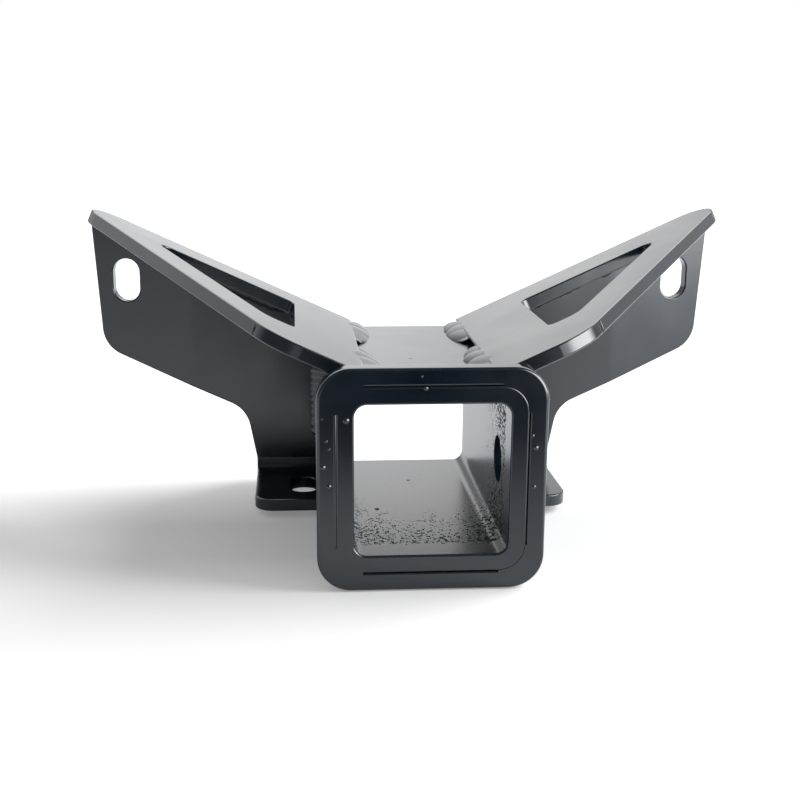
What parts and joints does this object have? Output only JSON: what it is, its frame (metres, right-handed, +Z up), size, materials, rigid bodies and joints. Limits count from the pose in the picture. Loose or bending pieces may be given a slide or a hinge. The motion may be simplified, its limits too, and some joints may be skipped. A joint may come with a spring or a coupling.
{
  "type": "receiver hitch",
  "caption": "Welded steel receiver hitch: a square tube with a collared mouth and pin hole, sloping gussets with windows, and bent wing brackets with slotted ears and feet.",
  "frame": {"origin": "centre of the receiver's mouth, on its front face", "axes": "+X to the right seen from behind the vehicle, +Y from the mouth into the tube, +Z up"},
  "size_m": [0.2492, 0.1195, 0.1184],
  "materials": {
    "powder_coat": "satin black powder coat on steel plate and tube",
    "coated_weld": "black powder coat over rippled weld beads"
  },
  "bodies": {
    "root": {"receiver_tube": "powder_coat", "mouth_collar": "powder_coat", "left_gusset": "powder_coat", "right_gusset": "powder_coat", "left_wing_bracket": "powder_coat", "right_wing_bracket": "powder_coat", "left_gusset_weld_front": "coated_weld", "right_gusset_weld_front": "coated_weld", "left_gusset_weld_rear": "coated_weld", "right_gusset_weld_rear": "coated_weld", "left_web_weld": "coated_weld", "right_web_weld": "coated_weld", "left_stitch_weld_inner": "coated_weld", "right_stitch_weld_inner": "coated_weld", "left_stitch_weld_outer": "coated_weld", "right_stitch_weld_outer": "coated_weld", "left_collar_weld": "coated_weld", "right_collar_weld": "coated_weld", "lower_collar_weld": "coated_weld"}
  },
  "joints": []
}
